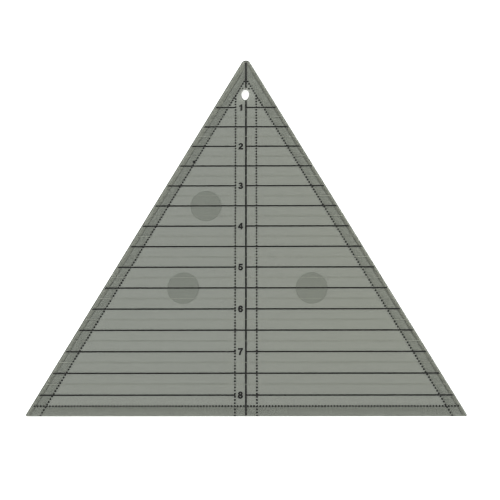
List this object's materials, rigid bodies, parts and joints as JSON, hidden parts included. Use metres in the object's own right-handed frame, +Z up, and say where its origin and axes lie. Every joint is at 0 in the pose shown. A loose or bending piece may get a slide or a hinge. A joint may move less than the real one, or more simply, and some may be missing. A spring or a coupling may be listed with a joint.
{
  "type": "quilting ruler",
  "caption": "Clear triangular 60-degree quilting ruler with inch lines, numerals, dotted seam-allowance lines, an oval hang hole and non-slip spots underneath.",
  "frame": {"origin": "middle of the triangle's outline, on the surface that the ruler lies on", "axes": "+X to the right along the base edge, +Y towards the apex, for someone reading the ruler from above; +Z up out of the reading face"},
  "size_m": [0.257, 0.2206, 0.0034],
  "materials": {
    "acrylic": "clear, faintly grey-green cast acrylic with polished faces and satin laser-cut edges",
    "grip": "fine gritty translucent grey non-slip coating",
    "seam_tint": "translucent grey screen-printed tint",
    "black_ink": "opaque black screen-printed ink",
    "white_ink": "fine off-white screen-printed ink"
  },
  "bodies": {
    "root": {"acrylic_blank": "acrylic", "grip_upper_left": "grip", "grip_lower_left": "grip", "grip_lower_right": "grip", "seam_tint": "seam_tint", "centre_line_tip": "black_ink", "black_grid": "black_ink", "inch_line_left_1": "black_ink", "inch_line_left_2": "black_ink", "inch_line_left_3": "black_ink", "inch_line_left_4": "black_ink", "inch_line_left_5": "black_ink", "inch_line_left_6": "black_ink", "inch_line_left_7": "black_ink", "inch_line_left_8": "black_ink", "numeral_1": "black_ink", "numeral_2": "black_ink", "numeral_3": "black_ink", "numeral_4": "black_ink", "numeral_5": "black_ink", "numeral_6": "black_ink", "numeral_7": "black_ink", "numeral_8": "black_ink", "quarter_line_1_25": "white_ink", "quarter_line_1_75": "white_ink", "quarter_line_2_25": "white_ink", "quarter_line_2_75": "white_ink", "quarter_line_3_25": "white_ink", "quarter_line_3_75": "white_ink", "quarter_line_4_25": "white_ink", "quarter_line_4_75": "white_ink", "quarter_line_5_25": "white_ink", "quarter_line_5_75": "white_ink", "quarter_line_6_25": "white_ink", "quarter_line_6_75": "white_ink", "quarter_line_7_25": "white_ink", "quarter_line_7_75": "white_ink"}
  },
  "joints": []
}
